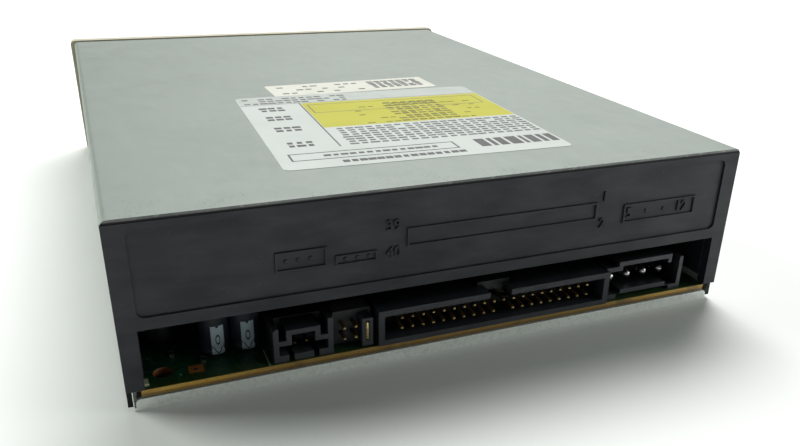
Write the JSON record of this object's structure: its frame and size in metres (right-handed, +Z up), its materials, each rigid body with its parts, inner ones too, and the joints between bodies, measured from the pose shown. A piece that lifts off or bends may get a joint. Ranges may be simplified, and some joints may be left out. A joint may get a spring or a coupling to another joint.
{
  "type": "optical disc drive",
  "caption": "Half-height optical disc drive in a steel case with a sliding disc tray, loading gears, tilting pickup deck, rear data, power and audio sockets and a beige front bezel.",
  "frame": {"origin": "centre of the bounding box in plan, on the underside of the pan", "axes": "+Z up, +Y towards the rear connectors, -Y the way the tray opens, +X towards the audio end of the rear panel"},
  "size_m": [0.1486, 0.1996, 0.0418],
  "materials": {
    "cover_steel": "galvanised sheet, dull pale grey-green with fine dark specks",
    "pan_steel": "plated sheet, light grey",
    "black_plastic": "charcoal moulded plastic, fine texture",
    "bezel_plastic": "beige moulded plastic",
    "tray_plastic": "dark grey moulded plastic",
    "connector_plastic": "charcoal glass-filled plastic",
    "board_laminate": "green solder mask over laminate",
    "gold_pins": "thin gold plating",
    "tin_pins": "tin plating",
    "capacitor_sleeve": "shrink sleeve, near black",
    "rubber": "matt",
    "chip_resin": "black epoxy",
    "bright_metal": "bright",
    "screw_steel": "zinc plated",
    "ribbon_film": "off-white film and socket plastic",
    "control_metal": "plated",
    "green_lens": "green translucent",
    "motor_metal": "drawn can",
    "white_plastic": "natural acetal",
    "plate_steel": "zinc plated sheet",
    "die_cast": "die-cast, satin",
    "lens_glass": "coated lens"
  },
  "bodies": {
    "case": {"top_cover": "cover_steel", "bottom_cover": "pan_steel", "main_frame": "black_plastic", "front_bezel": "bezel_plastic", "case_screws": "screw_steel", "main_board": "board_laminate", "board_screws": "screw_steel", "ide_shell": "connector_plastic", "ide_pins": "gold_pins", "power_shell": "connector_plastic", "power_pins": "tin_pins", "audio_shell": "connector_plastic", "audio_pins": "gold_pins", "jumper_header": "connector_plastic", "jumper_pins": "gold_pins", "jumper_cap": "connector_plastic", "capacitor_cans": "capacitor_sleeve", "capacitor_seals": "rubber", "board_chips": "chip_resin", "board_crystal": "bright_metal", "ribbon_sockets": "ribbon_film", "front_ribbon": "ribbon_film", "front_board": "board_laminate", "front_switches": "control_metal", "volume_control": "control_metal", "headphone_jack": "black_plastic", "indicator_led": "green_lens", "indicator_lens": "green_lens", "loading_motor": "motor_metal", "drive_belt": "rubber", "clamp_bridge": "plate_steel"},
    "tray": {"disc_tray": "tray_plastic", "tray_door": "bezel_plastic"},
    "eject": {"eject_button": "bezel_plastic"},
    "play": {"play_button": "bezel_plastic"},
    "volume": {"volume_wheel": "tray_plastic"},
    "motor_pulley": {"motor_pulley": "white_plastic"},
    "pulley_gear": {"pulley_gear": "white_plastic"},
    "tray_gear": {"tray_gear": "white_plastic"},
    "cam": {"cam_slider": "white_plastic"},
    "deck": {"deck_frame": "black_plastic", "traverse_plate": "plate_steel", "damper_bushes": "rubber", "damper_screws": "screw_steel", "guide_rods": "bright_metal", "spindle_motor": "motor_metal", "sled_motor": "motor_metal"},
    "spindle": {"turntable": "black_plastic"},
    "puck": {"clamp_puck": "white_plastic", "clamp_yoke": "plate_steel"},
    "sled": {"pickup_sled": "die_cast", "actuator_yoke": "control_metal"},
    "lens": {"lens_holder": "black_plastic", "objective_lens": "lens_glass"},
    "sled_pinion": {"sled_pinion": "white_plastic"},
    "sled_gear": {"sled_gear": "white_plastic"}
  },
  "joints": [
    {"name": "tray_slide", "type": "slide", "parent": "case", "child": "tray", "axis": [0, -1, 0], "range_m": [0, 0.135]},
    {"name": "tray_gear_turn", "type": "hinge", "parent": "case", "child": "tray_gear", "pos_m": [0.044, -0.0722, 0.0234], "axis": [0, 0, 1], "range_deg": [-650, 5]},
    {"name": "pulley_gear_turn", "type": "hinge", "parent": "case", "child": "pulley_gear", "pos_m": [0.026, -0.0722, 0.0225], "axis": [0, 0, 1], "range_deg": [-5, 1300]},
    {"name": "motor_pulley_turn", "type": "hinge", "parent": "case", "child": "motor_pulley", "pos_m": [-0.008, -0.0722, 0.0209], "axis": [0, 0, 1], "range_deg": [-5, 4450]},
    {"name": "deck_tilt", "type": "hinge", "parent": "case", "child": "deck", "pos_m": [0, 0.0568, 0.0182], "axis": [1, 0, 0], "range_deg": [0, 5.6]},
    {"name": "cam_slide", "type": "slide", "parent": "case", "child": "cam", "axis": [1, 0, 0], "range_m": [0, 0.0181]},
    {"name": "spindle_spin", "type": "hinge", "parent": "deck", "child": "spindle", "pos_m": [0, -0.0258, 0.02], "axis": [0, 0, 1], "continuous": true},
    {"name": "puck_spin", "type": "hinge", "parent": "case", "child": "puck", "pos_m": [0, -0.0258, 0.035], "axis": [0, 0, 1], "continuous": true},
    {"name": "sled_slide", "type": "slide", "parent": "deck", "child": "sled", "axis": [0, 1, 0], "range_m": [0, 0.034]},
    {"name": "sled_gear_turn", "type": "hinge", "parent": "deck", "child": "sled_gear", "pos_m": [0.0357, 0.0158, 0.016], "axis": [0, 0, 1], "range_deg": [-470, 5]},
    {"name": "sled_pinion_turn", "type": "hinge", "parent": "deck", "child": "sled_pinion", "pos_m": [0.0432, 0.00281, 0.0132], "axis": [0, 0, 1], "range_deg": [-5, 1870]},
    {"name": "lens_focus", "type": "slide", "parent": "sled", "child": "lens", "axis": [0, 0, 1], "range_m": [-0.0004, 0.0004], "stiffness_N_per_m": 60},
    {"name": "eject_press", "type": "slide", "parent": "case", "child": "eject", "axis": [0, 1, 0], "range_m": [0, 0.0008], "stiffness_N_per_m": 400},
    {"name": "play_press", "type": "slide", "parent": "case", "child": "play", "axis": [0, 1, 0], "range_m": [0, 0.0008], "stiffness_N_per_m": 400},
    {"name": "volume_turn", "type": "hinge", "parent": "case", "child": "volume", "pos_m": [-0.036, -0.0908, 0.0096], "axis": [0, 0, 1], "range_deg": [-140, 140]}
  ],
  "couplings": [
    {"joint": "tray_gear_turn", "follows": "tray_slide", "rad_per_m": -83.333},
    {"joint": "pulley_gear_turn", "follows": "tray_slide", "rad_per_m": 166.67},
    {"joint": "motor_pulley_turn", "follows": "tray_slide", "rad_per_m": 571.43},
    {"joint": "cam_slide", "follows": "deck_tilt", "m_per_rad": 0.18416},
    {"joint": "puck_spin", "follows": "spindle_spin", "ratio": 1},
    {"joint": "sled_gear_turn", "follows": "sled_slide", "rad_per_m": -238.1},
    {"joint": "sled_pinion_turn", "follows": "sled_slide", "rad_per_m": 952.38}
  ]
}
